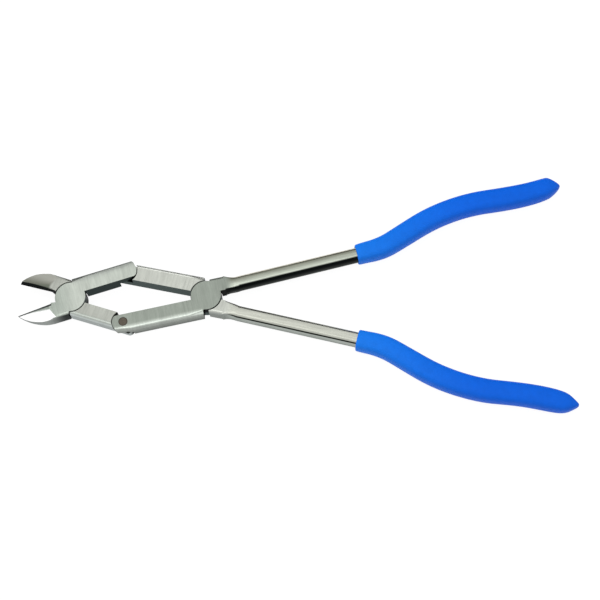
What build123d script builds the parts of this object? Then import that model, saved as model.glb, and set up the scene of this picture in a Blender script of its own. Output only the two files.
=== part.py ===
"""Double jointed side cutter: two jaw halves and two handle halves on four pins.

The pieces are drawn closed, about their own pivot and with the lap plane at height zero,
and stand in the open position in which the tool lies: jaws towards -X, handles towards +X.
The origin is on the rear pivot's axis, in the flat underside of the joints. Millimetres.
"""

import os
from math import acos, asin, atan2, cos, degrees, hypot, pi, radians, sin, sqrt, tan

from build123d import *

os.makedirs("parts", exist_ok=True)

# Forged halves: ground flat on both faces, half thickness where they lap
thickness = 9.7
lap_gap = 0.12
back_round = 2.0
edge_break = 0.2

# Linkage, drawn closed: reach along the tool and offset from its centre line
front_reach = 34.2
rear_reach = 48.8
elbow_offset = 5.25
front_opening = 17.5

# Pivot discs and the round recesses that they turn in
disc_radius = 8.8
recess_clearance = 0.35

# Arms
arm_gap_half = 0.87
arm_width = 9.03
front_heel_angle = 19.5
rear_arm_heel_angle = 19.5
rear_block_heel_angle = 23.0
elbow_end_radius = 6.3
elbow_recess_clearance = 0.35
elbow_inner_corner = 2.4

# Jaws
jaw_length = 31.8
jaw_depth = 10.1
jaw_straight = 12.0
jaw_back_radius = 25.4
jaw_gap_half = 0.1
throat_length = 11.3
throat_relief = 0.8
tip_edge_height = -0.2
throat_edge_height = 3.4
top_bevel_angle = 47.0
bottom_bevel_angle = 18.0
crease_inner_x = 13.1
crease_inner_depth = 3.5
crease_outer_x = 10.7
crease_outer_depth = 8.9
facet_slope = 14.0
land_slope = 11.8

# Pins: flush in the half that they are fixed in, turning in a blind bore in the other
joint_pin_radius = 3.6
joint_head_radius = 4.6
elbow_pin_radius = 2.85
pin_rim_chamfer = 0.25
pin_running_clearance = 0.05
open_pivot_clearance = 0.25
blind_bore_depth = 3.3
pin_end_gap = 0.2

# Handle: block beside the rear joint, neck, then a forged shank of barrel section
block_width = 8.7
block_length = 11.6
neck_x = 15.4
neck_width = 7.4
neck_offset = 4.95
neck_thickness = 9.1
shank_start_x = 20.0
shank_offset = 5.35
shank_width = 6.8
shank_thickness = 8.9
shank_draft = 0.75
shank_crown = 0.45
shank_corner = 2.1
block_draft = 0.15
block_crown = 0.03
block_corner = 0.4
shank_lean = 1.8
shank_run = 76.2

# Bends of the handle inside its grip: turn in degrees about each radius
outward_turn = 18.0
outward_radius = 46.0
slope_run = 18.2
palm_turn = 23.5
palm_radius = 106.0
tail_turn = 4.5
tail_radius = 420.0
tail_run = 12.0

# Dipped grip: its distances are taken along the handle, from the collar
collar_position = 69.4
collar_width = 12.4
collar_thickness = 11.7
swell_length = 42.0
palm_width = 13.1
palm_thickness = 12.5
grip_sections = 10
collar_lip = 0.8
taper_length = 13.0
shoulder_length = 7.2
shoulder_width = 11.6
shoulder_thickness = 11.4
shoulder_shift = 1.4
tip_width = 2.2
tip_thickness = 4.6
tip_shift = 0.5
grip_corner_share = 0.42

# Worked out from the sizes above
half_thickness = thickness / 2
lap_face = lap_gap / 2
recess_radius = disc_radius + recess_clearance
elbow_recess_radius = elbow_end_radius + elbow_recess_clearance
arm_outer = arm_gap_half + arm_width
block_outer = arm_gap_half + block_width
front_arm_radius = hypot(front_reach, elbow_offset)
rear_arm_radius = hypot(rear_reach, elbow_offset)
front_arm_angle = degrees(atan2(elbow_offset, front_reach)) + front_opening
elbow_spread = front_arm_radius * sin(radians(front_arm_angle))
rear_arm_angle = degrees(asin(elbow_spread / rear_arm_radius))
rear_opening = rear_arm_angle - degrees(atan2(elbow_offset, rear_reach))
front_span = front_arm_radius * cos(radians(front_arm_angle))
rear_span = rear_arm_radius * cos(radians(rear_arm_angle))
front_pivot_x = -(front_span + rear_span)
elbow_x = -rear_span


def pivot_place(pivot_x, pivot_y, opening, turned_over):
    """Plane of a half on its pivot, swung open, and turned over about X for the lower layer."""
    sign = -1 if turned_over else 1
    lean = radians(opening)
    return Plane(
        origin=(pivot_x, pivot_y, half_thickness),
        x_dir=(cos(lean), sign * sin(lean), 0),
        z_dir=(0, 0, sign),
    )


def heel_point(depth, angle):
    """Corner of a heel face, which lies along a radius at this angle from the Y axis."""
    return (depth * tan(radians(angle)), depth)


def arm_outline(reach, heel_angle):
    """Sketch of one arm along +X, from its heel to its round elbow end."""
    outer_run = sqrt(elbow_end_radius**2 - (arm_outer - elbow_offset) ** 2)
    inner_run = sqrt(elbow_end_radius**2 - (elbow_offset - arm_gap_half) ** 2)
    outer_corner = (reach + outer_run, arm_outer)
    inner_corner = (reach + inner_run, arm_gap_half)
    with BuildSketch() as outline:
        with BuildLine():
            Polyline(
                inner_corner,
                heel_point(arm_gap_half, heel_angle),
                heel_point(arm_outer, heel_angle),
                outer_corner,
            )
            ThreePointArc(outer_corner, (reach + elbow_end_radius, elbow_offset), inner_corner)
        make_face()
        end_corners = outline.vertices().group_by(Axis.Y)[0].sort_by(Axis.X)
        fillet(end_corners[-1], elbow_inner_corner)
    return outline.sketch


def jaw_blank():
    """Sketch of the jaw before its edge is ground: straight back, then a long curve to the tip."""
    curve_rise = jaw_depth + 2 * back_round
    curve_turn = degrees(acos(1 - curve_rise / jaw_back_radius))
    with BuildSketch() as outline:
        with BuildLine():
            start = (-jaw_straight, -jaw_depth)
            back = JernArc(start, (-1, 0), jaw_back_radius, -curve_turn)
            Polyline(back @ 1, (0, 2 * back_round), (0, 0))
            Polyline((0, 0), heel_point(-jaw_depth, front_heel_angle), start)
        make_face()
    return outline.sketch


def closing_side():
    """Sketch of what is ground away beyond the closing line, the throat and the tip."""
    with BuildSketch() as ground:
        with BuildLine():
            Polyline(
                (-jaw_length, -jaw_depth),
                (-jaw_length, -jaw_gap_half),
                (-throat_length, -jaw_gap_half),
                (-disc_radius + throat_relief, -throat_relief),
                (0, 0),
                (0, jaw_depth),
                (-2 * jaw_length, jaw_depth),
                (-2 * jaw_length, -jaw_depth),
                close=True,
            )
        make_face()
    return ground.sketch


def facet_plane(side):
    """Plane of the facet that thins the jaw towards its tip; side is +1 above, -1 below."""
    crease_run = crease_inner_x - crease_outer_x
    crease_fall = crease_outer_depth - crease_inner_depth
    crease_length = hypot(crease_run, crease_fall)
    tilt = radians(facet_slope)
    return Plane(
        origin=(-crease_inner_x, -crease_inner_depth, side * half_thickness),
        z_dir=(
            -sin(tilt) * crease_fall / crease_length,
            -sin(tilt) * crease_run / crease_length,
            side * cos(tilt),
        ),
    )


def land_plane(side):
    """Plane of the narrow land between the facet and the cutting edge."""
    tilt = radians(land_slope)
    return Plane(
        origin=(-crease_inner_x, 0, side * half_thickness),
        z_dir=(-sin(tilt), 0, side * cos(tilt)),
    )


def bevel_wedge(edge_side, upward, angle_from_vertical):
    """Prism that grinds one bevel, above or below the sloping cutting edge."""
    throat = Vector(-throat_length, -jaw_gap_half, edge_side * throat_edge_height)
    tip = Vector(-jaw_length, -jaw_gap_half, edge_side * tip_edge_height)
    rise = upward * 2 * thickness
    width = 2 * thickness * tan(radians(angle_from_vertical))
    section = Plane(origin=throat, x_dir=(0, -1, 0), z_dir=tip - throat)
    vertical = 1 if section.y_dir.Z > 0 else -1
    with BuildPart() as wedge:
        with BuildSketch(section):
            with BuildLine():
                Polyline(
                    (-jaw_gap_half, 0),
                    (0, 0),
                    (width, vertical * rise),
                    (-jaw_gap_half, vertical * rise),
                    close=True,
                )
            make_face()
        extrude(amount=(tip - throat).length + 1)
    return wedge.part


def cut_lap(x, y, radius):
    """Round recess that takes the lower layer away, its rim broken at the flat face."""
    below = (Align.CENTER, Align.CENTER, Align.MAX)
    above = (Align.CENTER, Align.CENTER, Align.MIN)
    with Locations((x, y, lap_face)):
        Cylinder(radius, thickness, align=below, mode=Mode.SUBTRACT)
    with Locations((x, y, -half_thickness)):
        Cone(radius + edge_break, radius, edge_break, align=above, mode=Mode.SUBTRACT)


def cut_blind_bore(x, y, radius):
    """Bore that a pin turns in, open to the lap face only."""
    above = (Align.CENTER, Align.CENTER, Align.MIN)
    with Locations((x, y, lap_face)):
        Cylinder(radius, blind_bore_depth, align=above, mode=Mode.SUBTRACT)


def joint_disc():
    """Disc of the upper layer round the pivot, its free rim broken at the flat face."""
    above = (Align.CENTER, Align.CENTER, Align.MIN)
    with Locations((0, 0, lap_face)):
        Cylinder(disc_radius, half_thickness - edge_break - lap_face, align=above)
    with Locations((0, 0, half_thickness - edge_break)):
        Cone(disc_radius, disc_radius - edge_break, edge_break, align=above)


def is_back_edge(edge):
    """True for the long outer edges of arm, block and jaw on both flat faces."""
    middle = edge.center()
    lies_flat = abs(abs(middle.Z) - half_thickness) < lap_gap
    return lies_flat and abs(middle.Y) > block_outer - lap_gap


def joint_pin(inner_length):
    """Rivet of a main pivot: countersunk head flush with the outer face at the top."""
    head_depth = joint_head_radius - joint_pin_radius
    with BuildPart() as pin:
        with BuildSketch(Plane.XZ):
            with BuildLine():
                Polyline(
                    (0, -inner_length),
                    (joint_pin_radius - pin_rim_chamfer, -inner_length),
                    (joint_pin_radius, pin_rim_chamfer - inner_length),
                    (joint_pin_radius, half_thickness - head_depth),
                    (joint_head_radius, half_thickness),
                    (0, half_thickness),
                    close=True,
                )
            make_face()
        revolve(axis=Axis.Z)
    return pin.part


def elbow_pin(inner_length):
    """Plain pin of an elbow, its rim broken at both ends."""
    with BuildPart() as pin:
        with BuildSketch(Plane.XY.offset(-inner_length)):
            Circle(elbow_pin_radius)
        extrude(amount=inner_length + half_thickness)
        chamfer(pin.edges().filter_by(GeomType.CIRCLE), pin_rim_chamfer)
    return pin.part


pin_inner_length = blind_bore_depth + lap_face - pin_end_gap
rivet = joint_pin(pin_inner_length)
cross_pin = elbow_pin(pin_inner_length)


def front_half(edge_side, riveted, elbow_clearance):
    """A jaw with its arm, drawn closed, as the upper layer of both its joints."""
    with BuildPart() as half:
        with BuildSketch(Plane.XY.offset(-half_thickness)):
            add(arm_outline(front_reach, front_heel_angle))
            add(jaw_blank())
        extrude(amount=thickness)
        fillet(half.edges().filter_by(is_back_edge), back_round)
        with BuildSketch(Plane.XY.offset(-half_thickness)):
            add(closing_side())
        extrude(amount=thickness, mode=Mode.SUBTRACT)
        for side in (1, -1):
            split(bisect_by=facet_plane(side), keep=Keep.BOTTOM)
            split(bisect_by=land_plane(side), keep=Keep.BOTTOM)
        add(bevel_wedge(edge_side, edge_side, top_bevel_angle), mode=Mode.SUBTRACT)
        add(bevel_wedge(edge_side, -edge_side, bottom_bevel_angle), mode=Mode.SUBTRACT)
        cut_lap(0, 0, recess_radius)
        cut_lap(front_reach, elbow_offset, elbow_recess_radius)
        joint_disc()
        if riveted:
            add(rivet, mode=Mode.SUBTRACT)
        else:
            cut_blind_bore(0, 0, joint_pin_radius + pin_running_clearance)
        cut_blind_bore(front_reach, elbow_offset, elbow_pin_radius + elbow_clearance)
    return half.part


def barrel_section(place, width, height, draft, crown, corner):
    """Forged section: widest at the parting line, sides drafted, faces crowned, corners round."""
    shoulder = width / 2 - draft
    brow = height / 2 - crown
    with BuildSketch(place) as section:
        with BuildLine():
            Polyline((shoulder, -brow), (width / 2, 0), (shoulder, brow))
            ThreePointArc((shoulder, brow), (0, height / 2), (-shoulder, brow))
            Polyline((-shoulder, brow), (-width / 2, 0), (-shoulder, -brow))
            ThreePointArc((-shoulder, -brow), (0, -height / 2), (shoulder, -brow))
        make_face()
        corners = section.vertices().filter_by(lambda v: abs(v.Y) > height / 4)
        fillet(corners, corner)
    return section.sketch


def across(line, distance):
    """Plane square to a line at a distance along it, its y direction upwards."""
    share = distance / line.length
    tangent = line % share
    return Plane(origin=line @ share, x_dir=(-tangent.Y, tangent.X, 0), z_dir=tangent)


with BuildLine() as tang_line:
    straight = PolarLine((shank_start_x, shank_offset), shank_run, shank_lean)
    outward = JernArc(straight @ 1, straight % 1, outward_radius, outward_turn)
    slope = Line(outward @ 1, outward @ 1 + (outward % 1) * slope_run)
    palm = JernArc(slope @ 1, slope % 1, palm_radius, -palm_turn)
    tail = JernArc(palm @ 1, palm % 1, tail_radius, tail_turn)

with BuildLine() as handle_line:
    add(tang_line.line)
    Line(tail @ 1, tail @ 1 + (tail % 1) * tail_run)

tang_wire = tang_line.wires()[0]
handle_wire = handle_line.wires()[0]

shank_root = barrel_section(
    across(tang_wire, 0), shank_width, shank_thickness, shank_draft, shank_crown, shank_corner
)
with BuildPart() as shank:
    sweep(shank_root, path=tang_wire)


def rear_half(riveted):
    """An arm with its handle, drawn closed, as the upper layer of both its joints."""
    neck_draft = (block_draft + shank_draft) / 2
    neck_crown = (block_crown + shank_crown) / 2
    neck_corner = (block_corner + shank_corner) / 2
    block_middle = arm_gap_half + block_width / 2
    with BuildPart() as half:
        with BuildSketch(Plane.XY.offset(-half_thickness)):
            add(arm_outline(rear_reach, rear_arm_heel_angle), rotation=180)
            with BuildLine():
                Polyline(
                    heel_point(arm_gap_half, rear_block_heel_angle),
                    heel_point(block_outer, rear_block_heel_angle),
                    (block_length, block_outer),
                    (block_length, arm_gap_half),
                    close=True,
                )
            make_face()
        extrude(amount=thickness)
        fillet(half.edges().filter_by(is_back_edge), back_round)
        cut_lap(0, 0, recess_radius)
        cut_lap(-rear_reach, -elbow_offset, elbow_recess_radius)
        joint_disc()
        if riveted:
            add(rivet, mode=Mode.SUBTRACT)
        else:
            cut_blind_bore(0, 0, joint_pin_radius + pin_running_clearance)
        with Locations((-rear_reach, -elbow_offset)):
            add(cross_pin, mode=Mode.SUBTRACT)
        add(shank.part)
    with BuildPart() as neck:
        block_end = Plane((block_length, block_middle, 0), x_dir=(0, 1, 0), z_dir=(1, 0, 0))
        neck_place = Plane((neck_x, neck_offset, 0), x_dir=(0, 1, 0), z_dir=(1, 0, 0))
        wide = barrel_section(
            block_end, block_width, thickness, block_draft, block_crown, block_corner
        )
        waist = barrel_section(
            neck_place, neck_width, neck_thickness, neck_draft, neck_crown, neck_corner
        )
        loft([wide, waist, shank_root])
    with BuildPart() as whole:
        add(half.part)
        add(neck.part)
    return whole.part


def grip_section(distance, width, height, shift=0):
    """One round-cornered section of the grip, this far from its collar, shifted outwards."""
    with BuildSketch(across(handle_wire, collar_position + distance)) as section:
        with Locations((shift, 0)):
            RectangleRounded(width, height, grip_corner_share * min(width, height))
    return section.sketch


def swelling(distance, collar_size, palm_size):
    """Size of the grip at a distance, easing from its collar's size to its palm's."""
    ease = (1 - cos(pi * min(1, distance / swell_length))) / 2
    return collar_size + (palm_size - collar_size) * ease


grip_length = handle_wire.length - collar_position
body_end = grip_length - taper_length
with BuildPart() as grip:
    body_sections = []
    for number in range(grip_sections + 1):
        place = collar_lip + (body_end - collar_lip) * number / grip_sections
        width = swelling(place, collar_width, palm_width)
        height = swelling(place, collar_thickness, palm_thickness)
        body_sections.append(grip_section(place, width, height))
    collar_face = grip_section(0, collar_width - 2 * collar_lip, collar_thickness - 2 * collar_lip)
    shoulder = grip_section(
        grip_length - shoulder_length, shoulder_width, shoulder_thickness, shoulder_shift
    )
    tip = grip_section(grip_length, tip_width, tip_thickness, tip_shift)
    loft([collar_face, body_sections[0]], ruled=True)
    loft(body_sections)
    loft([body_sections[-1], shoulder], ruled=True)
    loft([shoulder, tip], ruled=True)
    add(shank.part, mode=Mode.SUBTRACT)


def finish(piece, name):
    """Label a finished piece and write it to its own file."""
    piece.label = name
    export_step(piece, f"parts/{name}.step")


front_open = (front_pivot_x, 0, front_opening)
upper_elbow_plane = pivot_place(elbow_x, elbow_spread, -rear_opening, True)
lower_elbow_plane = pivot_place(elbow_x, -elbow_spread, rear_opening, False)

with BuildPart(pivot_place(*front_open, False)) as front_half_lower_jaw:
    add(front_half(1, False, pin_running_clearance))

with BuildPart(pivot_place(*front_open, True)) as front_half_upper_jaw:
    add(front_half(-1, True, open_pivot_clearance))

with BuildPart(pivot_place(0, 0, rear_opening, False)) as rear_half_upper_handle:
    add(rear_half(False))

with BuildPart(pivot_place(0, 0, rear_opening, True)) as rear_half_lower_handle:
    add(rear_half(True))

with BuildPart(pivot_place(*front_open, True)) as front_pivot_rivet:
    add(rivet)

with BuildPart(pivot_place(0, 0, rear_opening, True)) as rear_pivot_rivet:
    add(rivet)

with BuildPart(upper_elbow_plane) as upper_elbow_pin:
    add(cross_pin)

with BuildPart(lower_elbow_plane) as lower_elbow_pin:
    add(cross_pin)

with BuildPart(pivot_place(0, 0, rear_opening, False)) as upper_grip:
    add(grip.part)

with BuildPart(pivot_place(0, 0, rear_opening, True)) as lower_grip:
    add(grip.part)

finish(front_half_lower_jaw.part, "front_half_lower_jaw")
finish(front_half_upper_jaw.part, "front_half_upper_jaw")
finish(rear_half_upper_handle.part, "rear_half_upper_handle")
finish(rear_half_lower_handle.part, "rear_half_lower_handle")
finish(front_pivot_rivet.part, "front_pivot_rivet")
finish(rear_pivot_rivet.part, "rear_pivot_rivet")
finish(upper_elbow_pin.part, "upper_elbow_pin")
finish(lower_elbow_pin.part, "lower_elbow_pin")
finish(upper_grip.part, "upper_grip")
finish(lower_grip.part, "lower_grip")
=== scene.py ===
"""Looks of the double jointed side cutter: ground steel halves, pins, dipped grips and the studio.

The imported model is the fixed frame, in metres: jaws towards -X, handles towards +X, top faces up.
"""

import logging
import math
from collections.abc import Callable
from dataclasses import dataclass
from enum import Enum
from typing import NamedTuple

import bmesh
import bpy
from mathutils import Euler, Matrix, Vector

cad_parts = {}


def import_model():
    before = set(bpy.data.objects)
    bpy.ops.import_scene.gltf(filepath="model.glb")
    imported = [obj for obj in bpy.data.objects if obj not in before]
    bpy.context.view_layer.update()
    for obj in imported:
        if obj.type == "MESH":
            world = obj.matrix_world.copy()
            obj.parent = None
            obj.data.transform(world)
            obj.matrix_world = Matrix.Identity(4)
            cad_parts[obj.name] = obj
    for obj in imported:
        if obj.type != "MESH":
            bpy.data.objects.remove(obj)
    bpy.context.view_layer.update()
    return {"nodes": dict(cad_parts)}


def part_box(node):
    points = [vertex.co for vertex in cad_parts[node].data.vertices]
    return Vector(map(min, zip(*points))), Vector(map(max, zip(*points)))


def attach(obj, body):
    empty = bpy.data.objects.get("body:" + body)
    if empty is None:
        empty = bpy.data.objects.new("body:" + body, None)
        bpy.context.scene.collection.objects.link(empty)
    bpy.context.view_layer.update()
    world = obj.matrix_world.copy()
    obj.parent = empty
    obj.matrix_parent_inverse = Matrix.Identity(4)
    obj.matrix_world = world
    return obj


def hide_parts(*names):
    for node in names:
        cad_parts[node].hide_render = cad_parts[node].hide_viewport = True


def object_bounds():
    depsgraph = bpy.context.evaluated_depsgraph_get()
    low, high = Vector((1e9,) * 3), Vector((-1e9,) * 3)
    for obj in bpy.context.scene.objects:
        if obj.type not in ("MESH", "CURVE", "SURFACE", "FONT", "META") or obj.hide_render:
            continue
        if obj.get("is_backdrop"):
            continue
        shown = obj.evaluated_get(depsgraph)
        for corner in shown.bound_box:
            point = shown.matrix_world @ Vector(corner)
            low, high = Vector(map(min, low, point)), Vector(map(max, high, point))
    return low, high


MM = 0.001
UP = Vector((0, 0, 1))
# Height of the plane in which the halves lap, in millimetres
MIDDLE_HEIGHT = 4.85
LOG = logging.getLogger("side_cutter")

# Socket numbers of the Mix node when it mixes colours
MIX_COLOUR_A = 6
MIX_COLOUR_B = 7
MIX_COLOUR_RESULT = 2

Colour = tuple[float, float, float, float]
Pair = tuple[float, float]
Triple = tuple[float, float, float]


def srgb(red: int, green: int, blue: int) -> Colour:
    """Linear colour of a screen colour.

    Args:
        red: Red from 0 to 255.
        green: Green from 0 to 255.
        blue: Blue from 0 to 255.

    Returns:
        The linear colour with an alpha of 1.
    """
    parts = [channel / 255 for channel in (red, green, blue)]
    linear = [part / 12.92 if part <= 0.04045 else ((part + 0.055) / 1.055) ** 2.4 for part in parts]
    return (linear[0], linear[1], linear[2], 1.0)


WHITE = srgb(255, 255, 255)
# Mid grey of the painted reflection on the outer walls
WALL_REFLECTION_GREY = srgb(150, 155, 150)
# Near-black of painted shade, for inner walls, laps and corners that reflect no light
SHADE_BLACK = srgb(16, 19, 19)


class Wire:
    """A shader value that ordinary operators combine; each operator adds a Math node."""

    def __init__(self, sheet: "NodeSheet", socket: bpy.types.NodeSocket) -> None:
        """Wrap an output socket of a sheet."""
        self.sheet = sheet
        self.socket = socket

    def math(self, operation: str, left: "Wire | float", right: "Wire | float") -> "Wire":
        """Result of a Math node on two values."""
        return self.sheet.add("ShaderNodeMath", {"operation": operation}, {0: left, 1: right})

    def __add__(self, other: "Wire | float") -> "Wire":
        """Sum."""
        return self.math("ADD", self, other)

    __radd__ = __add__

    def __sub__(self, other: "Wire | float") -> "Wire":
        """Difference."""
        return self.math("SUBTRACT", self, other)

    def __rsub__(self, other: "Wire | float") -> "Wire":
        """Difference from a number."""
        return self.math("SUBTRACT", other, self)

    def __mul__(self, other: "Wire | float") -> "Wire":
        """Product."""
        return self.math("MULTIPLY", self, other)

    __rmul__ = __mul__

    def __abs__(self) -> "Wire":
        """Size without its sign."""
        return self.math("ABSOLUTE", self, 0.0)

    def larger(self, other: "Wire") -> "Wire":
        """The larger of two values."""
        return self.math("MAXIMUM", self, other)

    def ramp(self, low: float, high: float) -> "Wire":
        """Smooth step from 0 at low to 1 at high."""
        settings = {"interpolation_type": "SMOOTHSTEP"}
        return self.sheet.add("ShaderNodeMapRange", settings, {0: self, 1: low, 2: high})


class NodeSheet:
    """The nodes of one material or world, added by kind."""

    def __init__(self, owner: bpy.types.Material | bpy.types.World) -> None:
        """Empty the nodes of a material or world.

        Args:
            owner: The material or world.
        """
        owner.use_nodes = True
        self.owner = owner
        self.tree = owner.node_tree
        self.tree.nodes.clear()

    def add(
        self, kind: str, settings: dict | None = None, sockets: dict | None = None, output: int | str = 0
    ) -> Wire:
        """Add one node.

        Args:
            kind: The node's type.
            settings: Attributes that are set before its sockets.
            sockets: Values or wires of its inputs, by number or name.
            output: The output that is wanted, by number or name.

        Returns:
            The wanted output.
        """
        node = self.tree.nodes.new(kind)
        for name, value in (settings or {}).items():
            setattr(node, name, value)
        for key, value in (sockets or {}).items():
            if isinstance(value, Wire):
                self.tree.links.new(value.socket, node.inputs[key])
            else:
                node.inputs[key].default_value = value
        return Wire(self, node.outputs[output])

    def vector_math(self, operation: str, sockets: dict, output: str = "Vector") -> Wire:
        """Result of a Vector Math node."""
        return self.add("ShaderNodeVectorMath", {"operation": operation}, sockets, output)

    def blend(self, share: Wire | float, first: Wire | Colour, second: Wire | Colour) -> Wire:
        """Mix of two colours.

        Args:
            share: How much of the second colour shows.
            first: Colour at a share of 0.
            second: Colour at a share of 1.

        Returns:
            The mixed colour.
        """
        sockets = {0: share, MIX_COLOUR_A: first, MIX_COLOUR_B: second}
        return self.add("ShaderNodeMix", {"data_type": "RGBA"}, sockets, MIX_COLOUR_RESULT)

    def along(self, vector: Wire, direction: Vector) -> Wire:
        """Length of a vector along a unit direction."""
        return self.vector_math("DOT_PRODUCT", {0: vector, 1: tuple(direction)}, "Value")

    def noise(self, vector: Wire, scale: float, detail: float, roughness: float = 0.6) -> Wire:
        """Noise round 0.5 at a place, with a scale and finer layers of some weight."""
        sockets = {"Vector": vector, "Scale": scale, "Detail": detail, "Roughness": roughness}
        return self.add("ShaderNodeTexNoise", None, sockets)

    def length(self, vector: Wire) -> Wire:
        """Length of a vector."""
        return self.vector_math("LENGTH", {0: vector}, "Value")

    def scale(self, colour: Wire | Colour, tone: Wire | float) -> Wire:
        """Colour made brighter or darker.

        Args:
            colour: The colour.
            tone: What it is multiplied by.

        Returns:
            The scaled colour.
        """
        if not isinstance(colour, Wire):
            colour = colour[:3]
        return self.vector_math("SCALE", {0: colour, "Scale": tone})

    def join(self, x: Wire | float, y: Wire | float, z: Wire | float) -> Wire:
        """Vector of three values."""
        return self.add("ShaderNodeCombineXYZ", None, {0: x, 1: y, 2: z})

    def principled(self, sockets: dict) -> Wire:
        """Principled shader with these inputs."""
        return self.add("ShaderNodeBsdfPrincipled", None, sockets)

    def finish(
        self, shader: Wire, output: str = "ShaderNodeOutputMaterial"
    ) -> bpy.types.Material | bpy.types.World:
        """Send a shader to the output.

        Args:
            shader: The shader.
            output: Type of the output node.

        Returns:
            The finished material or world.
        """
        node = self.tree.nodes.new(output)
        self.tree.links.new(shader.socket, node.inputs["Surface"])
        return self.owner


class Layer(Enum):
    """Whether a half lies as drawn or turned over about its length."""

    UPPER = 1
    LOWER = -1


@dataclass(frozen=True)
class HalfPlace:
    """Where a half stands: its pivot and how far it is swung open."""

    pivot_x: float
    opening: float
    layer: Layer

    def lean(self) -> float:
        """Angle of the half from the tool's length, in radians."""
        return math.radians(self.opening) * self.layer.value

    def lengthwise(self) -> Vector:
        """Unit direction from the jaws to the handles along the half."""
        return Vector((math.cos(self.lean()), math.sin(self.lean()), 0))

    def outward(self) -> Vector:
        """Unit direction across the half, towards the outer side of its handle or arm."""
        along = self.lengthwise()
        return Vector((-along.y, along.x, 0)) * self.layer.value

    def drawing(self) -> Matrix:
        """Transform from the half's drawing, pivot at the origin, to where the half stands."""
        return Matrix.Translation((self.pivot_x, 0, 0)) @ Matrix.Rotation(self.lean(), 4, "Z")


def make_active(piece: bpy.types.Object) -> None:
    """Select one object alone and make it the active one.

    Args:
        piece: The object.
    """
    bpy.ops.object.select_all(action="DESELECT")
    piece.select_set(True)
    bpy.context.view_layer.objects.active = piece


def dress(piece: bpy.types.Object, material: bpy.types.Material) -> None:
    """Give a piece one material in place of any that it has."""
    piece.data.materials.clear()
    piece.data.materials.append(material)


def apply_modifiers(piece: bpy.types.Object) -> None:
    """Apply a piece's modifiers in their order.

    Args:
        piece: The piece.
    """
    make_active(piece)
    for modifier in list(piece.modifiers):
        bpy.ops.object.modifier_apply(modifier=modifier.name)


def start_edit() -> None:
    """Go to edit mode with everything selected."""
    bpy.ops.object.mode_set(mode="EDIT")
    bpy.ops.mesh.select_all(action="SELECT")


def end_edit() -> None:
    """Leave edit mode with nothing selected."""
    bpy.ops.mesh.select_all(action="DESELECT")
    bpy.ops.object.mode_set(mode="OBJECT")


def select_where(piece: bpy.types.Object, wanted: Callable[[Vector], bool]) -> None:
    """Select the vertices at wanted places, and go to edit mode.

    Args:
        piece: The piece, in object mode, with nothing selected.
        wanted: Says of a place in millimetres whether it is wanted.
    """
    for vertex in piece.data.vertices:
        vertex.select = wanted(vertex.co / MM)
    bpy.ops.object.mode_set(mode="EDIT")


def shift_across(piece: bpy.types.Object, wanted: Callable[[Vector], bool], distance: float) -> None:
    """Move the vertices at wanted places along Y.

    Args:
        piece: The piece, in object mode, with nothing selected.
        wanted: Says of a place in millimetres whether it is wanted.
        distance: How far they move, in millimetres.
    """
    select_where(piece, wanted)
    bpy.ops.transform.translate(value=(0, distance * MM, 0))
    end_edit()


def place_by(piece: bpy.types.Object, transform: Matrix) -> None:
    """Move a piece by a transform and apply it.

    Args:
        piece: The piece.
        transform: The transform.
    """
    make_active(piece)
    piece.matrix_world = transform
    bpy.ops.object.transform_apply(location=True, rotation=True, scale=True)


def merged_copy(node: bpy.types.Object, name: str) -> bpy.types.Object:
    """Copy a solid, join its facets' edges and dissolve what lies flat.

    Args:
        node: The solid's node.
        name: Name of the copy.

    Returns:
        The copy, still sharp.
    """
    merge_distance = 0.002 * MM
    flat_angle = math.radians(0.4)
    piece = bpy.data.objects.new(name, node.data.copy())
    bpy.context.collection.objects.link(piece)
    piece.matrix_world = node.matrix_world
    make_active(piece)
    start_edit()
    bpy.ops.mesh.remove_doubles(threshold=merge_distance)
    bpy.ops.mesh.dissolve_limited(angle_limit=flat_angle)
    end_edit()
    return piece


@dataclass(frozen=True)
class EdgeBreak:
    """Softened edges of a machined piece."""

    width: float = 0.14
    segments: int = 2
    sharp_angle: float = 32.0
    crease_angle: float = 5.0
    slenderness: float = 80.0
    area_weight: int = 100
    area_tolerance: float = 0.01

    def apply(self, piece: bpy.types.Object) -> None:
        """Bevel the piece's sharp edges and even its shading.

        Args:
            piece: The piece.
        """
        make_active(piece)
        bpy.ops.object.mode_set(mode="EDIT")
        self.mark_creases(piece)
        bpy.ops.object.mode_set(mode="OBJECT")
        bevel = piece.modifiers.new("edge_break", "BEVEL")
        bevel.width = self.width * MM
        bevel.segments = self.segments
        bevel.limit_method = "ANGLE"
        bevel.angle_limit = math.radians(self.sharp_angle)
        even = piece.modifiers.new("even_faces", "WEIGHTED_NORMAL")
        even.mode = "FACE_AREA"
        even.weight = self.area_weight
        even.thresh = self.area_tolerance
        even.keep_sharp = True
        apply_modifiers(piece)

    def mark_creases(self, piece: bpy.types.Object) -> None:
        """Smooth the faces, but keep the ground creases between broad ones crisp.

        Args:
            piece: The piece, in edit mode.
        """
        mesh = bmesh.from_edit_mesh(piece.data)
        for face in mesh.faces:
            face.smooth = True
        for edge in mesh.edges:
            meets_two = len(edge.link_faces) == 2
            if meets_two and edge.calc_face_angle() > math.radians(self.crease_angle):
                edge.smooth = not all(self.is_broad(face) for face in edge.link_faces)
        bmesh.update_edit_mesh(piece.data)

    def is_broad(self, face: bmesh.types.BMFace) -> bool:
        """True for a face that isn't one thin strip of a rounding."""
        return face.calc_perimeter() ** 2 < self.slenderness * face.calc_area()


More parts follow.
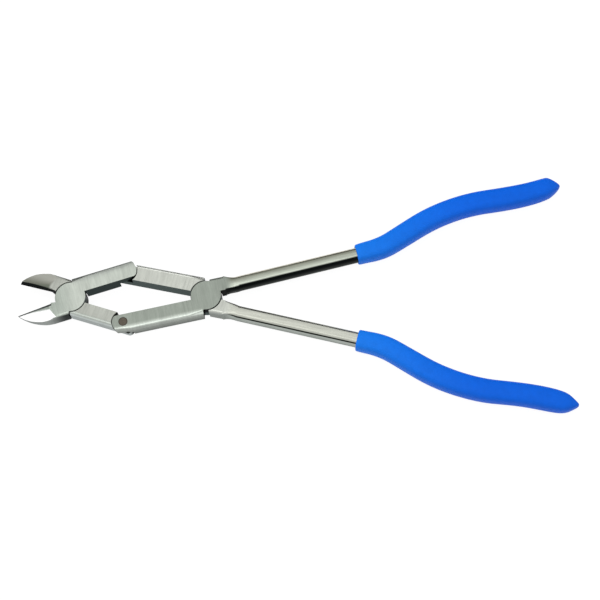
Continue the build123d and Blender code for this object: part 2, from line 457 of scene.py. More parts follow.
@dataclass(frozen=True)
class ShankFit:
    """Fullness that the forging adds to the drawn shank, in millimetres and degrees."""

    inner: float
    outer: float
    height: float = 0.7
    drawn_width: float = 6.8
    drawn_height: float = 8.9
    offset: float = 4.72
    lean: float = 1.8
    start: float = 19.9
    end: float = 98.0
    fade: float = 8.5

    def apply(self, piece: bpy.types.Object, place: HalfPlace) -> None:
        """Widen the shank towards either side, fading out over the neck.

        Args:
            piece: The shown half.
            place: Where the half stands.
        """
        side = place.layer.value
        straight = place.drawing() @ Matrix.Rotation(math.radians(self.lean) * side, 4, "Z")
        place_by(piece, straight.inverted())
        growth = (self.inner + self.outer) / self.drawn_width
        still = self.offset + self.drawn_width / 2 - self.outer / growth
        select_where(piece, lambda spot: self.start < spot.x < self.end)
        bpy.ops.transform.resize(
            value=(1, 1 + growth, 1 + self.height / self.drawn_height),
            center_override=(0, still * side * MM, MIDDLE_HEIGHT * MM),
            use_proportional_edit=True,
            proportional_edit_falloff="SMOOTH",
            proportional_size=self.fade * MM,
        )
        end_edit()
        place_by(piece, straight)


@dataclass(frozen=True)
class ArmFit:
    """Extra width of a forged arm on its outer side, in millimetres."""

    growth: float
    direction: int
    reach: float
    end_taper: float = 0.0
    elbow_offset: float = 5.25
    bore_clear: float = 3.2
    full_from: float = 12.0
    crease: float = 7.8
    disc_clear: float = 9.75
    slack: float = 0.1

    def apply(self, piece: bpy.types.Object, place: HalfPlace) -> None:
        """Move the outer wall and its rounding outwards, tapering beside the joint's disc.

        Args:
            piece: The shown half.
            place: Where the half stands.
        """
        place_by(piece, place.drawing().inverted())
        for along in (self.full_from, self.reach - self.end_taper):
            start_edit()
            cut = (along * self.direction * MM, 0, 0)
            bpy.ops.mesh.bisect(plane_co=cut, plane_no=(1, 0, 0))
            end_edit()
        across = place.layer.value * self.direction
        shift_across(
            piece,
            lambda spot: self.moves(spot.x * self.direction, spot.y * across),
            self.growth * across,
        )
        place_by(piece, place.drawing())

    def moves(self, along: float, outer: float) -> bool:
        """Whether a point is on the outer wall, clear of the disc and of the pin's bore.

        Args:
            along: Its distance from the pivot along the arm.
            outer: Its distance towards the arm's outer side.

        Returns:
            True if it moves.
        """
        past_taper = self.end_taper > 0 and along > self.reach - self.end_taper + self.slack
        clear = math.hypot(along - self.reach, outer - self.elbow_offset) > self.bore_clear
        by_disc = along > 0 and math.hypot(along, outer) > self.disc_clear
        on_arm = by_disc or along > self.full_from - self.slack
        return not past_taper and clear and outer > self.crease and on_arm


@dataclass(frozen=True)
class JawFit:
    """Fuller back of a jaw, growing in small steps towards the tip, in millimetres."""

    step: float = 0.2
    starts: tuple[float, ...] = (-11.0, -13.0, -15.5, -19.5, -22.0, -24.5)
    edge_depth: float = 2.3
    tip: float = 1.0
    tip_start: float = -27.5
    tip_depth: float = 0.9

    def apply(self, piece: bpy.types.Object, place: HalfPlace) -> None:
        """Move the back, and then the tip, away from the cutting edge.

        Args:
            piece: The shown half.
            place: Where the half stands.
        """
        side = place.layer.value
        place_by(piece, place.drawing().inverted())
        for start in self.starts:
            shift_across(
                piece,
                lambda spot, start=start: spot.x < start and spot.y * side < -self.edge_depth,
                -self.step * side,
            )
        shift_across(
            piece,
            lambda spot: spot.x < self.tip_start and -self.edge_depth < spot.y * side < -self.tip_depth,
            -self.tip * side,
        )
        place_by(piece, place.drawing())


Fit = ShankFit | ArmFit | JawFit


@dataclass(frozen=True)
class HandleLine:
    """Centre line of a handle, drawn closed about its pivot, in millimetres and degrees."""

    start: Pair = (20.0, 5.35)
    lean: float = 1.8
    # Length of each stretch, and how far the line turns on it
    legs: tuple[Pair, ...] = (
        (76.2, 0.0),
        (14.45, 18.0),
        (18.2, 0.0),
        (43.48, -23.5),
        (32.99, 4.5),
        (20.0, 0.0),
    )
    step: float = 1.5

    def points(self) -> list[Vector]:
        """Points along the line.

        Returns:
            The points, in metres.
        """
        place = Vector((*self.start, 0))
        heading = math.radians(self.lean)
        points = [place.copy()]
        for length, turn in self.legs:
            count = math.ceil(length / self.step)
            half_turn = math.radians(turn) / count / 2
            for _ in range(count):
                heading += half_turn
                place += Vector((math.cos(heading), math.sin(heading), 0)) * (length / count)
                heading += half_turn
                points.append(place.copy())
        return [point * MM for point in points]

    def curve(self, place: HalfPlace) -> bpy.types.Object:
        """Curve object along the line of one handle, where that handle stands.

        Args:
            place: Where the half stands.

        Returns:
            The curve.
        """
        data = bpy.data.curves.new("handle_line", "CURVE")
        data.dimensions = "3D"
        data.twist_mode = "Z_UP"
        spline = data.splines.new("POLY")
        points = self.points()
        spline.points.add(len(points) - 1)
        along, across = place.lengthwise(), place.outward()
        for corner, point in zip(spline.points, points):
            spot = along * point.x + across * point.y
            corner.co = (place.pivot_x + spot.x, spot.y, MIDDLE_HEIGHT * MM, 1)
        line = bpy.data.objects.new("handle_line", data)
        bpy.context.collection.objects.link(line)
        return line


class Ring(NamedTuple):
    """One section of a grip: distance along the handle, inner and outer edge, full height."""

    distance: float
    inner: float
    outer: float
    height: float

    def width(self) -> float:
        """Full width."""
        return self.outer - self.inner

    def middle(self) -> float:
        """Place of its middle across the handle."""
        return (self.outer + self.inner) / 2


@dataclass(frozen=True)
class DippedGrip:
    """Vinyl sleeve over the end of a handle: rounded collar, swelling palm, chamfered tip."""

    rings: tuple[Ring, ...]
    bore: Pair
    line: HandleLine = HandleLine()
    corner: float = 0.3
    lip: float = 0.9
    # Share of the lip's length before the collar, and of its depth
    lip_rounding: tuple[Pair, ...] = ((1.0, 1.0), (0.7, 0.25))
    bore_height: float = 9.7
    bore_end: float = 184.0
    bore_steps: int = 8
    smoothing: int = 3

    def build(self, name: str, place: HalfPlace) -> bpy.types.Object:
        """Model the grip straight, then bend it along its handle.

        Args:
            name: Name of the piece.
            place: Where the half stands.

        Returns:
            The grip.
        """
        grip = self.straight_sleeve(name, place.layer.value)
        smooth = grip.modifiers.new("smooth", "SUBSURF")
        smooth.levels = self.smoothing
        smooth.render_levels = self.smoothing
        line = self.line.curve(place)
        bend = grip.modifiers.new("bend", "CURVE")
        bend.object = line
        bend.deform_axis = "POS_X"
        apply_modifiers(grip)
        bpy.data.objects.remove(line)
        bpy.ops.object.shade_smooth()
        return grip

    def straight_sleeve(self, name: str, side: int) -> bpy.types.Object:
        """Extrude the sleeve along X through its rings, then its bore back from the collar.

        Args:
            name: Name of the piece.
            side: 1 where the handle's outer side is to the left of its line, -1 for the right.

        Returns:
            The straight sleeve.
        """
        rings = self.with_lip()
        first = rings[0]
        bpy.ops.mesh.primitive_plane_add(
            size=MM, location=(first.distance * MM, 0, 0), rotation=(0, math.pi / 2, 0)
        )
        grip = bpy.context.object
        grip.name = name
        grip.data.name = name
        bpy.ops.object.transform_apply(location=True, rotation=True, scale=True)
        start_edit()
        bpy.ops.mesh.bevel(offset=self.corner * MM, segments=2, affect="VERTICES")
        bpy.ops.mesh.select_all(action="SELECT")
        # The plane is a square with sides of one millimetre
        previous = Ring(first.distance, -0.5, 0.5, 1.0)
        for ring in rings:
            if ring is not first:
                step = (ring.distance - previous.distance) * MM
                bpy.ops.mesh.extrude_region_move(TRANSFORM_OT_translate={"value": (step, 0, 0)})
            self.fit(previous, ring, side)
            previous = ring
        self.sink_bore(grip, first, side)
        bpy.ops.mesh.select_all(action="SELECT")
        bpy.ops.mesh.normals_make_consistent(inside=False)
        bpy.ops.object.mode_set(mode="OBJECT")
        return grip

    def with_lip(self) -> list[Ring]:
        """Rings of the sleeve, with the collar's rounded lip before them.

        Returns:
            All the rings.
        """
        full = self.rings[0]
        lip = []
        for forward, inset in self.lip_rounding:
            drop = self.lip * inset
            distance = full.distance - self.lip * forward
            lip.append(Ring(distance, full.inner + drop, full.outer - drop, full.height - 2 * drop))
        return [*lip, *self.rings]

    @staticmethod
    def fit(present: Ring, wanted: Ring, side: int) -> None:
        """Resize and shift the selected face from one ring's size to another's.

        Args:
            present: The ring that the face has now.
            wanted: The ring that it gets, at the face's present distance.
            side: 1 or -1, as for the sleeve.
        """
        bpy.ops.transform.resize(
            value=(1, wanted.width() / present.width(), wanted.height / present.height),
            center_override=(wanted.distance * MM, present.middle() * side * MM, 0),
        )
        shift = (wanted.middle() - present.middle()) * side
        bpy.ops.transform.translate(value=(0, shift * MM, 0))

    def sink_bore(self, grip: bpy.types.Object, first: Ring, side: int) -> None:
        """Sink the bore for the shank from the collar's face.

        Args:
            grip: The sleeve, in edit mode.
            first: Its first ring.
            side: 1 or -1, as for the sleeve.
        """
        end_edit()
        tolerance = 0.01
        limit = (first.distance + tolerance) * MM
        for face in grip.data.polygons:
            face.select = all(grip.data.vertices[i].co.x < limit for i in face.vertices)
        bpy.ops.object.mode_set(mode="EDIT")
        bpy.ops.mesh.select_mode(type="FACE")
        bpy.ops.mesh.extrude_region_move(TRANSFORM_OT_translate={"value": (0, 0, 0)})
        self.fit(first, Ring(first.distance, *self.bore, self.bore_height), side)
        step = (self.bore_end - first.distance) / self.bore_steps * MM
        for _ in range(self.bore_steps):
            bpy.ops.mesh.extrude_region_move(TRANSFORM_OT_translate={"value": (step, 0, 0)})


class Surface:
    """Where a shaded point lies in the drawing of its half, in millimetres, and how it slopes."""

    pivot_blend: Pair = (-0.5, 0.5)

    def __init__(self, sheet: NodeSheet, place: HalfPlace) -> None:
        """Measure the point from the half's pivot.

        Args:
            sheet: The material's sheet.
            place: Where the half stands.
        """
        point = sheet.add("ShaderNodeTexCoord", output="Object")
        normal = sheet.add("ShaderNodeTexCoord", output="Normal")
        pivot = Vector((place.pivot_x, 0, 0))
        length_axis = place.lengthwise()
        width_axis = place.outward()
        self.x = (sheet.along(point, length_axis) - pivot.dot(length_axis)) * (1 / MM)
        self.y = (sheet.along(point, width_axis) - pivot.dot(width_axis)) * (1 / MM)
        self.z = sheet.along(point, UP) * (1 / MM) - MIDDLE_HEIGHT
        self.flatness = abs(sheet.along(normal, UP))
        self.outwards = sheet.along(normal, width_axis)
        self.radius = sheet.length(sheet.join(self.x, self.y, 0.0))
        self.on_handle_side = self.x.ramp(*self.pivot_blend)

    def grain(self, sheet: NodeSheet, stretch: Triple, detail: float) -> Wire:
        """Noise with its own scale along, across and up the half."""
        along, across, up = stretch
        return sheet.noise(sheet.join(self.x * along, self.y * across, self.z * up), 1.0, detail)


@dataclass(frozen=True, kw_only=True)
class GroundSteel:
    """Chrome vanadium steel: faces ground across their width, with painted shade and reflection on the
    walls and laps.

    A pair holds the two values between which one tone passes into another.
    """

    face: Colour
    # Painted reflection: a band of the face before the back edge, and the back edge's rounding, lighter
    # as a painted highlight on the handles
    margin_reflection: Colour
    rounding: Colour
    # Painted reflection: grey of the outer walls, changing towards their foot
    outer_wall_reflection: Colour = WALL_REFLECTION_GREY
    outer_foot_reflection: Colour = WALL_REFLECTION_GREY
    # Painted shade: the walls that look towards the other half are coloured near-black
    inner_wall_shade: Colour = SHADE_BLACK
    # Painted shade: the lap faces are coloured near-black, and their mouth gets a painted tone of its
    # own, lighter on the lower handle
    lap: Colour = SHADE_BLACK
    lap_mouth_painted_tone: Colour = SHADE_BLACK
    arm_side: int = 1
    arm_start: Pair = (1.0, 4.0)
    margin_from: float = 6.6
    back_edge: float = 7.8
    joint_rim: Pair = (9.2, 9.6)
    lap_depth: Pair = (0.3, 0.5)
    lap_flatness: Pair = (0.8, 0.95)
    mouth_from: Pair = (6.5, 8.0)
    wall_flatness: Pair = (0.55, 0.88)
    wall_foot: Pair = (3.5, -4.5)
    outer_turn: Pair = (0.35, 0.65)
    rounding_blend: Pair = (-0.3, 0.2)
    tint: Colour = srgb(190, 190, 190)
    fine_marks: Triple = (1.5, 0.12, 0.5)
    broad_marks: Triple = (0.6, 0.07, 0.1)
    fine_share: float = 0.55
    streak_depth: float = 0.65
    clouds: Triple = (0.12, 0.12, 0.12)
    cloud_depth: float = 0.16
    mark_strength: float = 0.3
    mark_depth: float = 0.03
    roughness: float = 0.34
    roughness_swing: float = 0.25

    def material(self, name: str, place: HalfPlace) -> bpy.types.Material:
        """Build the steel for one half.

        Args:
            name: Name of the material.
            place: Where the half stands.

        Returns:
            The material.
        """
        sheet = NodeSheet(bpy.data.materials.new(name))
        spot = Surface(sheet, place)
        streaks = self.streaks(sheet, spot)
        clouds = spot.grain(sheet, self.clouds, detail=2.0)
        tone = 1 + (streaks - 0.5) * self.depth(spot) + (clouds - 0.5) * self.cloud_depth
        colour = sheet.scale(self.colour(sheet, spot), tone)
        marks = {"Strength": self.mark_strength, "Distance": self.mark_depth * MM, "Height": streaks}
        shader = sheet.principled(
            {
                "Base Color": colour,
                "Metallic": 1.0,
                "Roughness": self.roughness + (streaks - 0.5) * self.roughness_swing,
                "Normal": sheet.add("ShaderNodeBump", None, marks),
                "Specular Tint": self.tint,
            }
        )
        return sheet.finish(shader)

    def colour(self, sheet: NodeSheet, spot: Surface) -> Wire:
        """Colour of faces, walls and laps, with painted shade and reflection on the walls and laps.

        Args:
            sheet: The material's sheet.
            spot: The shaded point.

        Returns:
            The colour before its grinding marks.
        """
        off_joint = spot.radius.ramp(*self.joint_rim)
        outer = self.outer_share(spot) * off_joint
        wall = self.wall(spot)
        colour = self.edge_colour(sheet, spot)
        # Painted reflection on the outer walls, then painted shade on the inner walls
        colour = sheet.blend(wall * outer, colour, self.outer_colour(sheet, spot))
        colour = sheet.blend(wall * (1 - outer), colour, self.inner_colour(sheet, spot))
        # Painted shade on the lap faces, with the mouth's painted tone towards the arm's outer side
        lap = (1 - abs(spot.z).ramp(*self.lap_depth)) * spot.flatness.ramp(*self.lap_flatness)
        mouth = self.arm_outer(spot).ramp(*self.mouth_from)
        return sheet.blend(lap, colour, sheet.blend(mouth, self.lap, self.lap_mouth_painted_tone))

    def arm_outer(self, spot: Surface) -> Wire:
        """Distance towards the arm's outer side, and 0 off the arm."""
        on_arm = (spot.x * self.arm_side).ramp(*self.arm_start)
        return spot.y * self.arm_side * on_arm

    def edge_colour(self, sheet: NodeSheet, spot: Surface) -> Wire:
        """Face colour, with painted reflection on the margin and on the rounding of the arm's back.

        Args:
            sheet: The material's sheet.
            spot: The shaded point.

        Returns:
            The colour of all that isn't a wall.
        """
        outer = self.arm_outer(spot)
        colour = self.face_colour(sheet, spot)
        colour = sheet.blend(outer.ramp(self.margin_from, self.back_edge), colour, self.margin_reflection)
        turn = outer.ramp(*(self.back_edge + shift for shift in self.rounding_blend))
        return sheet.blend(turn, colour, self.rounding)

    def outer_share(self, spot: Surface) -> Wire:
        """1 where the surface looks away from the other half."""
        return (spot.outwards * (spot.on_handle_side * 2 - 1)).ramp(*self.outer_turn)

    def wall(self, spot: Surface) -> Wire:
        """1 on the walls and 0 on the faces."""
        return 1 - spot.flatness.ramp(*self.wall_flatness)

    def face_colour(self, sheet: NodeSheet, spot: Surface) -> Wire | Colour:
        """Colour of the faces."""
        return self.face

    def outer_colour(self, sheet: NodeSheet, spot: Surface) -> Wire | Colour:
        """Painted reflection on the walls that look away from the other half, changing towards their
        foot.
        """
        return sheet.blend(spot.z.ramp(*self.wall_foot), self.outer_wall_reflection, self.outer_foot_reflection)

    def inner_colour(self, sheet: NodeSheet, spot: Surface) -> Wire | Colour:
        """Colour of the walls that look towards the other half: painted shade, near-black."""
        return self.inner_wall_shade

    def depth(self, spot: Surface) -> Wire | float:
        """How strongly the grinding marks show."""
        return self.streak_depth

    def streaks(self, sheet: NodeSheet, spot: Surface) -> Wire:
        """Fine and broad grinding marks across the faces.

        Args:
            sheet: The material's sheet.
            spot: The shaded point.

        Returns:
            A value round 0.5.
        """
        fine = spot.grain(sheet, self.fine_marks, detail=3.0)
        broad = spot.grain(sheet, self.broad_marks, detail=2.0)
        return fine * self.fine_share + broad * (1 - self.fine_share)


@dataclass(frozen=True, kw_only=True)
class JawSteel(GroundSteel):
    """Steel of a front half, with painted reflection on the facet and land of its jaw and a painted dark
    reflection on its cutting bevel.
    """

    root: Colour
    # Painted shade on the land, and painted reflection across the facet from its back to its edge
    land: Colour
    facet_back_reflection: Colour
    facet_edge_reflection: Colour
    bevel_start: float
    # Painted shade where the jaw's walls come to the joint
    heel_wall_shade: Colour = srgb(52, 56, 54)
    # Painted dark reflection along the cutting bevel
    bevel: Colour = srgb(24, 26, 26)
    root_span: Pair = (5.0, -10.0)
    heel_span: Pair = (-17.0, -5.0)
    crease: Pair = (-13.1, -3.5)
    crease_slant: float = 0.444
    crease_softness: float = 0.15
    facet_flatness: Pair = (0.88, 0.95)
    facet_span: Pair = (-8.0, -1.0)
    facet_polish: float = 0.85
    land_slant: float = 0.188
    land_edge: Pair = (-0.9, 0.5)
    jaw_tip_x: float = -31.8
    bevel_root: float = -0.75
    bevel_tip: float = -0.75
    bevel_belly: float = 0.0
    bevel_fade: float = 0.2
    bevel_softness: float = 0.15

    def facet_share(self, spot: Surface) -> Wire:
        """1 on the ground facet of the jaw, past its slanting crease.

        Args:
            spot: The shaded point.

        Returns:
            A value from 0 to 1.
        """
        crease_x, crease_y = self.crease
        past_crease = crease_x - spot.x - (spot.y - crease_y) * self.crease_slant
        return past_crease.ramp(0, self.crease_softness) * spot.flatness.ramp(*self.facet_flatness)

    def face_colour(self, sheet: NodeSheet, spot: Surface) -> Wire:
        """Colour of the arm and the jaw's root, with painted shade on its land and painted reflection
        across its facet.

        Args:
            sheet: The material's sheet.
            spot: The shaded point.

        Returns:
            The colour.
        """
        crease_x, crease_y = self.crease
        past_crease = crease_x - spot.x
        above_land = spot.y - crease_y - past_crease * self.land_slant
        land = past_crease.ramp(0, self.crease_softness) * above_land.ramp(*self.land_edge)
        facet = sheet.blend(spot.y.ramp(*self.facet_span), self.facet_back_reflection, self.facet_edge_reflection)
        colour = sheet.blend(spot.x.ramp(*self.root_span), self.face, self.root)
        colour = sheet.blend(self.facet_share(spot), colour, facet)
        return sheet.blend(land, colour, self.land)

    def outer_colour(self, sheet: NodeSheet, spot: Surface) -> Wire:
        """Painted shade: walls darken towards the heel of the jaw."""
        heel = spot.x.ramp(*self.heel_span) * (1 - spot.on_handle_side)
        return sheet.blend(heel, super().outer_colour(sheet, spot), self.heel_wall_shade)

    def colour(self, sheet: NodeSheet, spot: Surface) -> Wire:
        """Add the cutting bevel's painted dark reflection to the faces and walls.

        Args:
            sheet: The material's sheet.
            spot: The shaded point.

        Returns:
            The colour before its grinding marks.
        """
        length = self.bevel_start - self.jaw_tip_x
        share = (self.bevel_start - spot.x) * (1 / length)
        line = share * (self.bevel_tip - self.bevel_root) + self.bevel_root
        line = line - share * (1 - share) * (4 * self.bevel_belly)
        along_jaw = spot.x.ramp(self.bevel_start + self.bevel_fade, self.bevel_start - self.bevel_fade)
        bevel = along_jaw * (spot.y - line).ramp(-self.bevel_softness, self.bevel_softness)
        return sheet.blend(bevel, super().colour(sheet, spot), self.bevel)

    def depth(self, spot: Surface) -> Wire:
        """The facet is ground finer than the faces."""
        return self.streak_depth * (1 - self.facet_share(spot) * self.facet_polish)


@dataclass(frozen=True, kw_only=True)
class HandleSteel(GroundSteel):
    """Steel of a rear half, with the marks along its rounded shank and painted reflection across its
    face, corners and sides.
    """

    # Painted reflection across the shank's face, from its inner to its outer side
    shank_outer_reflection: Colour
    shank_inner_reflection: Colour
    # Painted reflection and shade on the shank's rounded corners and upright sides
    outer_corner_reflection: Colour = srgb(26, 30, 26)
    inner_corner_reflection: Colour = SHADE_BLACK
    outer_side_reflection: Colour = srgb(170, 176, 170)
    inner_side_reflection: Colour = srgb(95, 99, 96)
    arm_side: int = -1
    along_marks: Triple = (0.06, 1.0, 1.0)
    corner_flatness: Pair = (0.68, 0.82)
    side_flatness: Pair = (0.2, 0.45)
    side_foot: Pair = (3.0, -4.0)
    side_turn: Pair = (-0.1, 0.1)
    shank_span: Pair = (12.5, 17.5)
    shank_offset: float = 4.7
    shank_slope: float = 0.0314
    shank_half_width: float = 2.6

    def shank_share(self, spot: Surface) -> Wire:
        """1 on the shank and 0 on the arm."""
        return spot.x.ramp(*self.shank_span)

    def wall(self, spot: Surface) -> Wire:
        """1 on the walls, with which the rounded corners of the shank are counted.

        Args:
            spot: The shaded point.

        Returns:
            A value from 0 to 1.
        """
        arm_wall = super().wall(spot)
        shank_wall = 1 - spot.flatness.ramp(*self.corner_flatness)
        return arm_wall + self.shank_share(spot) * (shank_wall - arm_wall)

    def outer_share(self, spot: Surface) -> Wire:
        """1 on the outer side, where the shank's sides part at its middle.

        Args:
            spot: The shaded point.

        Returns:
            A value from 0 to 1.
        """
        arm = super().outer_share(spot)
        shank = spot.outwards.ramp(*self.side_turn)
        return arm + self.shank_share(spot) * (shank - arm)

    def face_colour(self, sheet: NodeSheet, spot: Surface) -> Wire:
        """Colour of the arm and the painted reflection across the shank, from side to side.

        Args:
            sheet: The material's sheet.
            spot: The shaded point.

        Returns:
            The colour.
        """
        middle = spot.x * self.shank_slope + self.shank_offset
        across = (spot.y - middle) * (1 / self.shank_half_width)
        shank = sheet.blend(across.ramp(-1, 1), self.shank_inner_reflection, self.shank_outer_reflection)
        return sheet.blend(self.shank_share(spot), self.face, shank)

    def outer_colour(self, sheet: NodeSheet, spot: Surface) -> Wire:
        """Painted reflection on the shank: corner tone over a lighter side."""
        shank = sheet.blend(self.side_share(spot), self.outer_corner_reflection, self.outer_side_reflection)
        return sheet.blend(self.shank_share(spot), super().outer_colour(sheet, spot), shank)

    def inner_colour(self, sheet: NodeSheet, spot: Surface) -> Wire:
        """Painted reflection and shade: corner tone, changing towards the foot of the shank's side.

        Args:
            sheet: The material's sheet.
            spot: The shaded point.

        Returns:
            The colour.
        """
        foot = self.side_share(spot) * spot.z.ramp(*self.side_foot)
        shank = sheet.blend(foot, self.inner_corner_reflection, self.inner_side_reflection)
        return sheet.blend(self.shank_share(spot), self.inner_wall_shade, shank)

    def side_share(self, spot: Surface) -> Wire:
        """1 on the upright sides and 0 on the rounded corners."""
        return 1 - spot.flatness.ramp(*self.side_flatness)

    def streaks(self, sheet: NodeSheet, spot: Surface) -> Wire:
        """Grinding marks across the arm, but along the shank.

        Args:
            sheet: The material's sheet.
            spot: The shaded point.

        Returns:
            A value round 0.5.
        """
        across = super().streaks(sheet, spot)
        along = spot.grain(sheet, self.along_marks, detail=3.0)
        return across + self.shank_share(spot) * (along - across)


@dataclass(frozen=True)
class PinSteel:
    """Oiled pin steel, browner than the ground halves, with painted shade darkening its rim."""

    face: Colour = srgb(93, 87, 78)
    # Painted shade on the rim of the pin's head
    rim_shade: Colour = srgb(52, 49, 45)
    rim_span: Pair = (0.68, 0.95)
    tone: float = 0.7
    mottle: float = 0.6
    mottle_scale: float = 900.0
    roughness: float = 0.45

    def material(self, name: str, centre: Vector, radius: float) -> bpy.types.Material:
        """Build the steel of one pin.

        Args:
            name: Name of the material.
            centre: A point on the pin's axis.
            radius: The pin's radius.

        Returns:
            The material.
        """
        sheet = NodeSheet(bpy.data.materials.new(name))
        point = sheet.add("ShaderNodeTexCoord", output="Object")
        offset = sheet.vector_math("SUBTRACT", {0: point, 1: tuple(centre)})
        away = sheet.length(sheet.vector_math("MULTIPLY", {0: offset, 1: (1, 1, 0)}))
        rim_shade = away.ramp(*(radius * share for share in self.rim_span))
        tone = self.tone + sheet.noise(point, self.mottle_scale, detail=3.0) * self.mottle
        colour = sheet.scale(sheet.blend(rim_shade, self.face, self.rim_shade), tone)
        return sheet.finish(
            sheet.principled({"Base Color": colour, "Metallic": 1.0, "Roughness": self.roughness})
        )


@dataclass(frozen=True)
class DippedVinyl:
    """Satin blue vinyl of the dipped grips, deeper in colour towards the tip."""

    collar: Colour = srgb(20, 124, 238)
    tip: Colour = srgb(4, 100, 226)
    deepening: Pair = (0.07, 0.16)
    drift: float = 0.12
    drift_scale: float = 45.0
    mottle: float = 0.2
    mottle_scale: float = 300.0
    skin_scale: float = 700.0
    skin_strength: float = 0.12
    skin_depth: float = 0.05
    roughness: float = 0.5
    roughness_swing: float = 0.15
    specular: float = 0.15

    def material(self, name: str) -> bpy.types.Material:
        """Build the vinyl.

        Args:
            name: Name of the material.

        Returns:
            The material.
        """
        sheet = NodeSheet(bpy.data.materials.new(name))
        point = sheet.add("ShaderNodeTexCoord", output="Object")
        skin = sheet.noise(point, self.skin_scale, detail=3.0)
        drift = sheet.noise(point, self.drift_scale, detail=1.0)
        mottle = sheet.noise(point, self.mottle_scale, detail=2.0)
        deeper = sheet.along(point, Vector((1, 0, 0))).ramp(*self.deepening)
        tone = 1 + (drift - 0.5) * self.drift + (mottle - 0.5) * self.mottle
        grain = {"Strength": self.skin_strength, "Distance": self.skin_depth * MM, "Height": skin}
        shader = sheet.principled(
            {
                "Base Color": sheet.scale(sheet.blend(deeper, self.collar, self.tip), tone),
                "Roughness": self.roughness + (skin - 0.5) * self.roughness_swing,
                "Normal": sheet.add("ShaderNodeBump", None, grain),
                "Specular IOR Level": self.specular,
            }
        )
        return sheet.finish(shader)


@dataclass(frozen=True)
class Softbox:
    """Soft lamp above the tool, looking straight down or at the rear joint."""

    name: str
    place: Triple
    size: Pair
    energy: float
    aimed: bool = False
    in_reflections: bool = True

    def build(self) -> None:
        """Add the lamp."""
        lamp = bpy.data.lights.new(self.name, "AREA")
        lamp.shape = "RECTANGLE"
        lamp.size, lamp.size_y = self.size
        lamp.energy = self.energy
        holder = bpy.data.objects.new(self.name, lamp)
        holder.location = self.place
        if self.aimed:
            holder.rotation_euler = (-holder.location).to_track_quat("-Z", "Y").to_euler()
        holder.visible_glossy = self.in_reflections
        bpy.context.collection.objects.link(holder)


@dataclass(frozen=True)
class Studio:
    """Pale floor, white surroundings, two soft lamps and a dark card behind the tool."""

    lamps: tuple[Softbox, ...] = (
        Softbox("overhead_softbox", place=(-0.2, -0.05, 1.0), size=(0.9, 0.42), energy=1.4),
        Softbox(
            "rear_softbox",
            place=(-0.25, 0.45, 0.8),
            size=(0.5, 0.5),
            energy=4.0,
            aimed=True,
            in_reflections=False,
        ),
    )
    world_light: float = 0.6
    floor_size: float = 4.0
    floor_colour: Colour = srgb(235, 236, 238)
    floor_share: float = 0.86
    floor_glow: float = 1.1
    card_colour: Colour = srgb(30, 30, 32)
    card_x: float = 0.05
    card_distance: float = 0.75
    card_width: float = 2.4
    card_height: float = 0.5

    def build(self) -> None:
        """Set up the world, the floor, the lamps and the card."""
        self.add_world()
        self.add_floor()
        for lamp in self.lamps:
            lamp.build()
        self.add_card()
        LOG.info("studio lit")

    @staticmethod
    def seen_directly(sheet: NodeSheet) -> Wire:
        """1 for rays that show the background, straight on, mirrored or through a piece.

        Args:
            sheet: The sheet that asks.

        Returns:
            1 or 0.
        """
        camera = sheet.add("ShaderNodeLightPath", output="Is Camera Ray")
        glossy = sheet.add("ShaderNodeLightPath", output="Is Glossy Ray")
        through = sheet.add("ShaderNodeLightPath", output="Is Transmission Ray")
        return camera.larger(glossy.larger(through))

    def add_world(self) -> None:
        """White where it shows, a little dimmer as a light."""
        world = bpy.data.worlds.new("studio_world")
        bpy.context.scene.world = world
        sheet = NodeSheet(world)
        strength = self.world_light + self.seen_directly(sheet) * (1 - self.world_light)
        glow = sheet.add("ShaderNodeBackground", None, {"Color": WHITE, "Strength": strength})
        sheet.finish(glow, "ShaderNodeOutputWorld")

    def add_floor(self) -> None:
        """Flat pale floor that the tool lies on, glowing a little where it shows."""
        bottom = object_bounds()[0][2]
        bpy.ops.mesh.primitive_plane_add(size=self.floor_size, location=(0, 0, bottom))
        floor = bpy.context.object
        floor.name = "floor"
        sheet = NodeSheet(bpy.data.materials.new("pale_floor"))
        matt = sheet.add("ShaderNodeBsdfDiffuse", None, {"Color": self.floor_colour})
        glow = sheet.add("ShaderNodeEmission", None, {"Color": WHITE, "Strength": self.floor_glow})
        share = self.seen_directly(sheet) * self.floor_share
        dress(floor, sheet.finish(sheet.add("ShaderNodeMixShader", None, {0: share, 1: matt, 2: glow})))
        floor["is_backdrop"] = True

    def add_card(self) -> None:
        """Dark card behind the tool, out of the camera's sight."""
        sheet = NodeSheet(bpy.data.materials.new("dark_card"))
        dark = sheet.finish(sheet.add("ShaderNodeBsdfDiffuse", None, {"Color": self.card_colour}))
        middle = (self.card_x, self.card_distance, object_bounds()[0][2] + self.card_height / 2)
        bpy.ops.mesh.primitive_plane_add(size=1.0, location=middle, rotation=(math.pi / 2, 0, 0))
        card = bpy.context.object
        card.name = "dark_card"
        card.scale = (self.card_width, self.card_height, 1)
        card.visible_camera = False
        dress(card, dark)
        card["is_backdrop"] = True


@dataclass(frozen=True)
class PhotoCamera:
    """Camera at the photograph's viewing angle, in metres, degrees and millimetres of lens."""

    place: Triple = (0.0796, -0.2535, 0.6925)
    turn: Triple = (20.09, 2.15, 0.08)
    lens: float = 77.1
    sensor: float = 36.0
    nearest: float = 0.01

    def build(self) -> None:
        """Add the camera and make it the scene's."""
        camera = bpy.data.cameras.new("photo_camera")
        camera.lens = self.lens
        camera.sensor_width = self.sensor
        camera.clip_start = self.nearest
        holder = bpy.data.objects.new("photo_camera", camera)
        holder.location = self.place
        holder.rotation_euler = Euler([math.radians(angle) for angle in self.turn], "XYZ")
        bpy.context.collection.objects.link(holder)
        bpy.context.scene.camera = holder
        LOG.info("camera placed")


